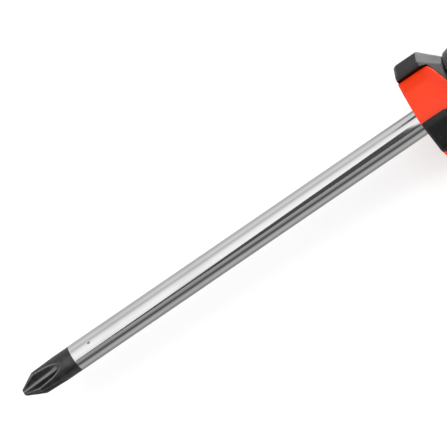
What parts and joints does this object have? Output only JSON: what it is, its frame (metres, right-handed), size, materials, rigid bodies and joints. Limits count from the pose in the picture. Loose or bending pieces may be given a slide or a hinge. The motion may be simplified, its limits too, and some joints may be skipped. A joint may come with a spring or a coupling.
{
  "type": "screwdriver",
  "caption": "Cross-head screwdriver with a round chromed blade, black-finished tip and a red and black moulded handle with an anti-roll guard.",
  "frame": {"origin": "centre of the blunt end of the cross tip", "axes": "+X along the tool's axis from the tip to the handle's end; +Z is the outward direction of one of the guard's red panels, which is up when the tool lies on the opposite panel"},
  "size_m": [0.2133, 0.0294, 0.0294],
  "materials": {
    "blade_steel": "polished chrome plate, black oxide on the first 13.6 mm",
    "core_plastic": "satin black hard plastic",
    "shell_plastic": "satin-gloss red-orange hard plastic",
    "grip_rubber": "fine matte soft plastic",
    "cap_plastic": "satin black hard plastic"
  },
  "bodies": {
    "root": {"blade": "blade_steel", "handle_core": "core_plastic", "colour_shell": "shell_plastic", "grip_sleeve": "grip_rubber", "end_cap": "cap_plastic"}
  },
  "joints": []
}
